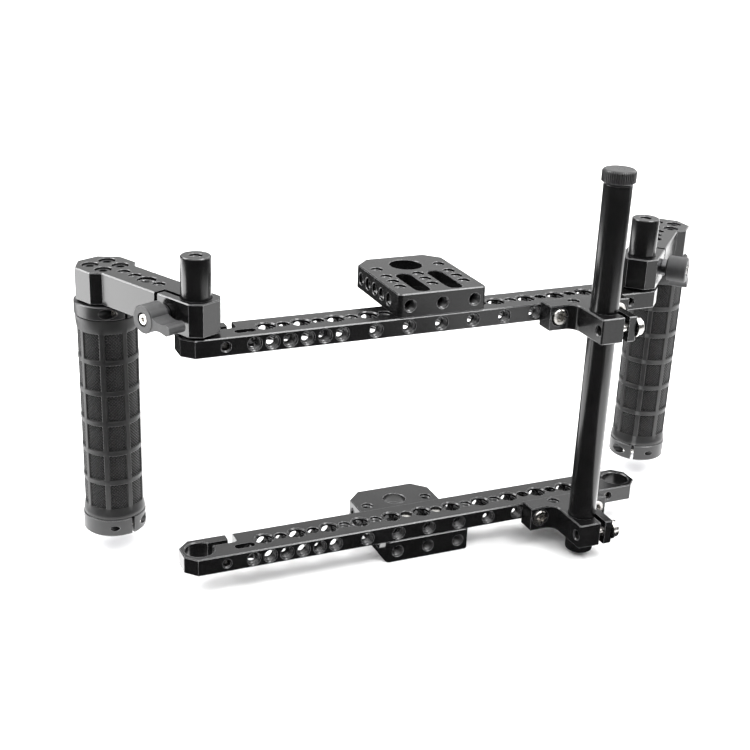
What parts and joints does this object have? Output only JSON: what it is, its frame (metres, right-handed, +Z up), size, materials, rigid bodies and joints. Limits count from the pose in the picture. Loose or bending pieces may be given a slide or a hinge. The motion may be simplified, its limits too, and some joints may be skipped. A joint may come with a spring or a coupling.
{
  "type": "monitor cage with hand grips",
  "caption": "Handheld cage of two drilled rails joined by a clamped rod, with drilled plates and swivelling rubber-gripped handles on clamp levers.",
  "frame": {"origin": "centre of the base plate's middle thread, on the face that the cage stands on", "axes": "+X along the rails, +Y away from the operator, +Z up along the rods"},
  "size_m": [0.3652, 0.1296, 0.2177],
  "materials": {
    "black_anodised": "semi-gloss black anodised aluminium",
    "rod_black": "smooth black anodised tube",
    "lever_black": "matte black casting",
    "grip_rubber": "matte moulded rubber",
    "stainless": "bright stainless steel",
    "stainless_dark": "black oxide steel",
    "plain_aluminium": "turned"
  },
  "bodies": {
    "upper_frame": {"upper_rail": "black_anodised", "top_plate": "black_anodised", "upper_rod_clamp": "black_anodised", "upper_clamp_bolts": "stainless", "upper_pinch_bolt": "stainless", "upper_pinch_washer": "stainless", "top_plate_screws": "stainless", "upper_rail_end_screws": "stainless"},
    "rod": {"vertical_rod": "rod_black"},
    "cap": {"rod_cap": "rod_black"},
    "lower_frame": {"lower_rail": "black_anodised", "base_plate": "black_anodised", "lower_rod_clamp": "black_anodised", "lower_clamp_bolts": "stainless", "lower_pinch_bolt": "stainless", "lower_pinch_washer": "stainless", "base_plate_screws": "stainless", "lower_rail_end_screws": "stainless"},
    "left_rod": {"left_support_rod": "rod_black"},
    "left_handle": {"left_handle_arm": "black_anodised", "left_handle_screws": "stainless_dark", "left_grip_core": "plain_aluminium", "left_grip_sleeve": "grip_rubber", "left_top_collar": "black_anodised", "left_bottom_collar": "black_anodised", "left_collar_screws": "stainless"},
    "left_lever": {"left_clamp_lever": "lever_black", "left_lever_stud": "stainless_dark", "left_lever_screw": "stainless", "left_lever_spring": "stainless"},
    "right_rod": {"right_support_rod": "rod_black"},
    "right_handle": {"right_handle_arm": "black_anodised", "right_handle_screws": "stainless_dark", "right_grip_core": "plain_aluminium", "right_grip_sleeve": "grip_rubber", "right_top_collar": "black_anodised", "right_bottom_collar": "black_anodised", "right_collar_screws": "stainless"},
    "right_lever": {"right_clamp_lever": "lever_black", "right_lever_stud": "stainless_dark", "right_lever_screw": "stainless", "right_lever_spring": "stainless"}
  },
  "joints": [
    {"name": "rod_swing", "type": "hinge", "parent": "upper_frame", "child": "rod", "pos_m": [0.0824, -0.0541, 0.13655], "axis": [0, 0, -1], "range_deg": [-30, 30]},
    {"name": "lower_frame_height", "type": "slide", "parent": "rod", "child": "lower_frame", "axis": [0, 0, 1], "range_m": [-0.007, 0.1]},
    {"name": "rod_cap_turn", "type": "hinge", "parent": "rod", "child": "cap", "pos_m": [0.0824, -0.0541, 0.2104], "axis": [0, 0, 1], "continuous": true},
    {"name": "left_handle_swivel", "type": "hinge", "parent": "upper_frame", "child": "left_rod", "pos_m": [-0.1266, -0.0199, 0.13655], "axis": [0, 0, 1], "range_deg": [-45, 155]},
    {"name": "left_handle_height", "type": "slide", "parent": "left_rod", "child": "left_handle", "axis": [0, 0, 1], "range_m": [-0.001, 0.02]},
    {"name": "left_lever_turn", "type": "hinge", "parent": "left_handle", "child": "left_lever", "pos_m": [-0.13111, -0.01031, 0.1511], "axis": [-0.9048, -0.4258, 0], "range_deg": [-10, 120]},
    {"name": "right_handle_swivel", "type": "hinge", "parent": "upper_frame", "child": "right_rod", "pos_m": [0.1266, -0.0199, 0.13655], "axis": [0, 0, 1], "range_deg": [-120, 65]},
    {"name": "right_handle_height", "type": "slide", "parent": "right_rod", "child": "right_handle", "axis": [0, 0, 1], "range_m": [-0.001, 0.02]},
    {"name": "right_lever_turn", "type": "hinge", "parent": "right_handle", "child": "right_lever", "pos_m": [0.13407, -0.01238, 0.1511], "axis": [-0.7096, 0.7046, 0], "range_deg": [-120, 10]}
  ]
}
